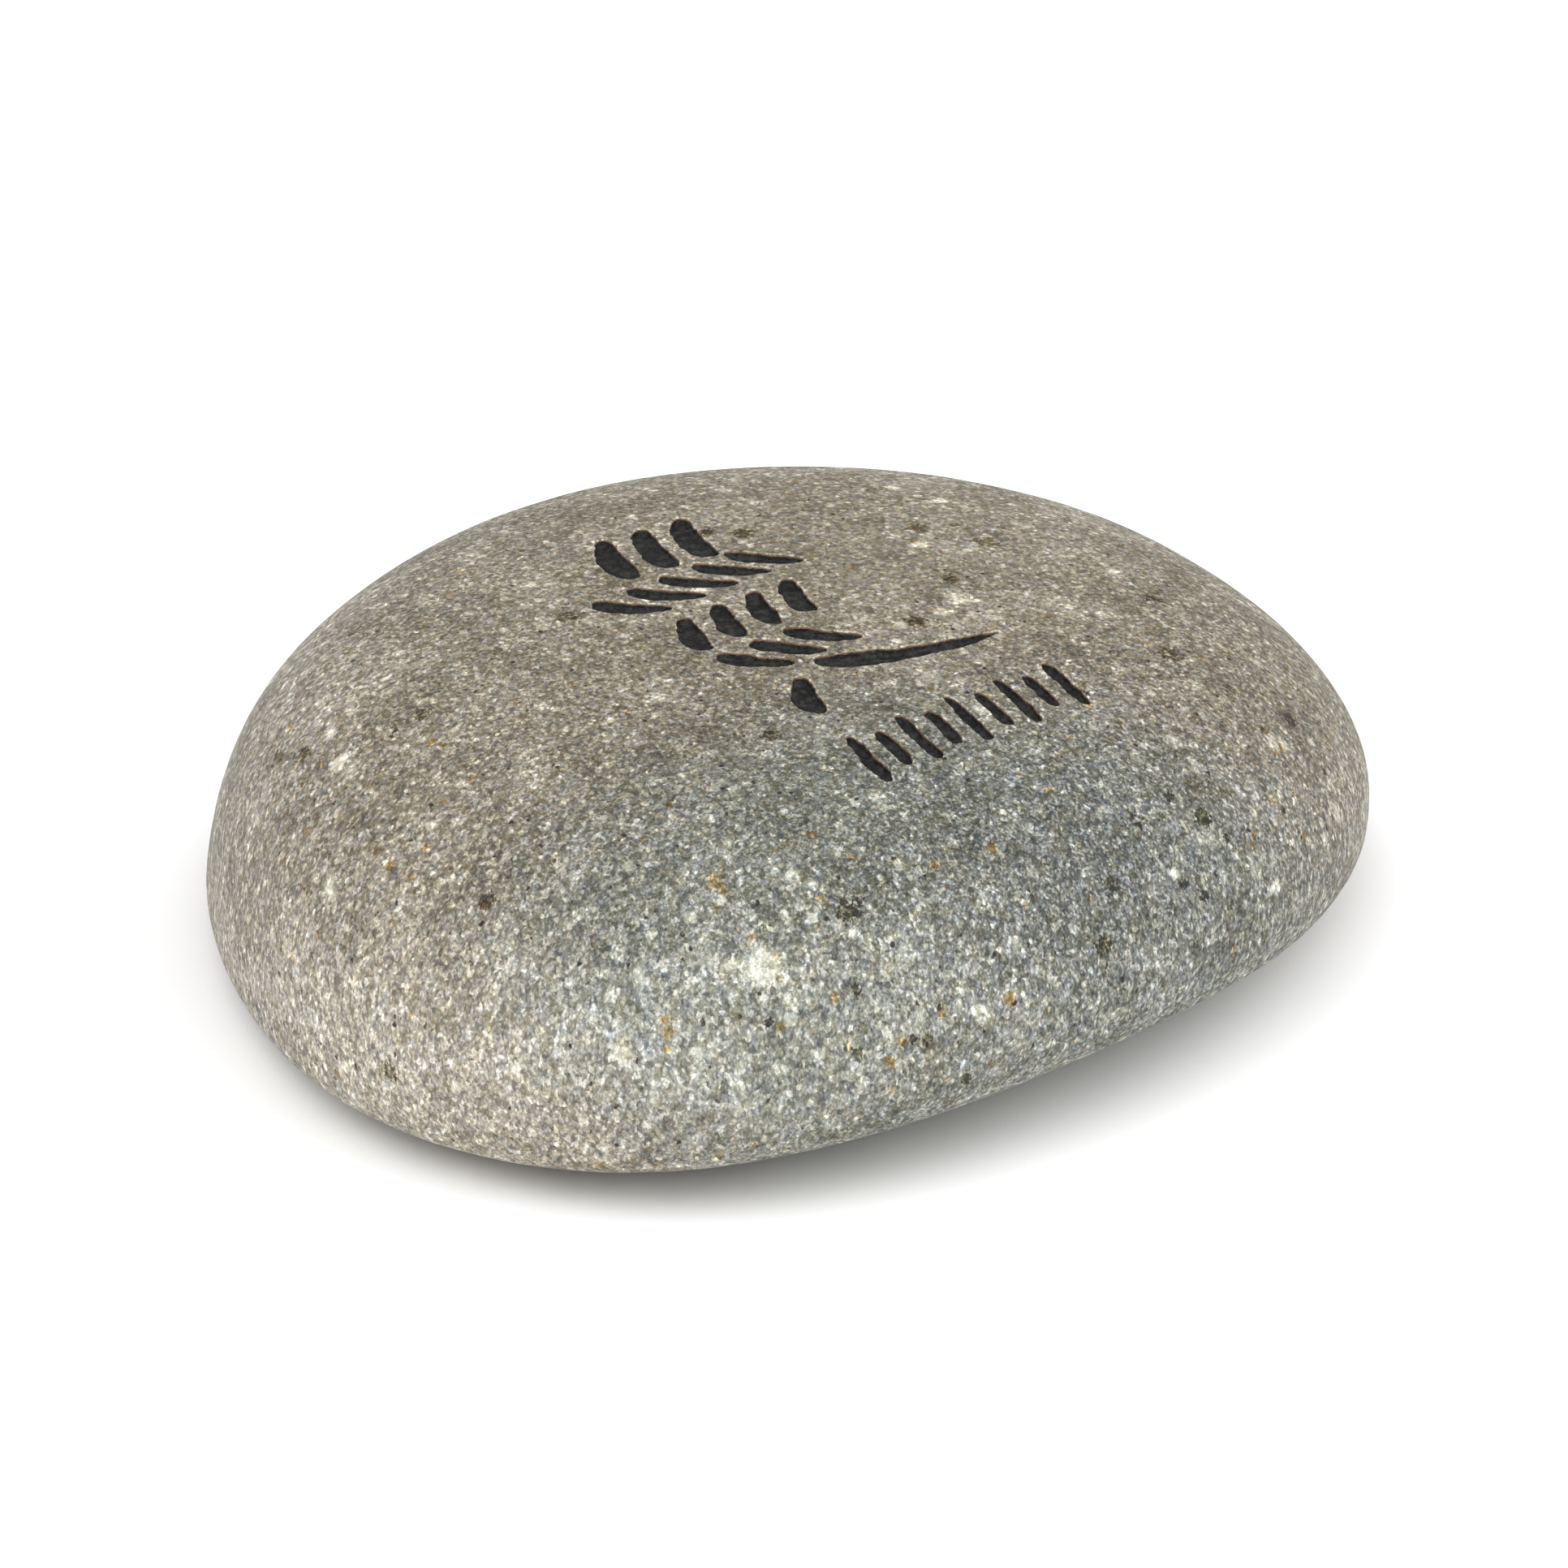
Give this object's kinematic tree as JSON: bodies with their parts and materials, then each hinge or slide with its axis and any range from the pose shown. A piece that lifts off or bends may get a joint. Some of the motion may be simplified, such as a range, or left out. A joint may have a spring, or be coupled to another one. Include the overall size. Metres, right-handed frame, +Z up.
{
  "type": "engraved river pebble",
  "caption": "Rounded grey-brown river pebble lying on its belly, with rows of shallow black-filled brush strokes cut into its crown.",
  "frame": {"origin": "on the resting plane, under the middle of the stone's bounding box", "axes": "+Z up from the belly to the crown; +X along the rows of strokes, the stone's longest way; +Y from the row of short strokes up to the tall block of strokes"},
  "size_m": [0.1012, 0.093, 0.0315],
  "materials": {
    "stone": "smooth matt river-worn volcanic stone, grey-brown matrix with pale crystals and dark and rusty specks",
    "black_fill": "satin black paint in the cut strokes, slightly mottled"
  },
  "bodies": {
    "root": {"river_pebble": "stone"}
  },
  "joints": []
}
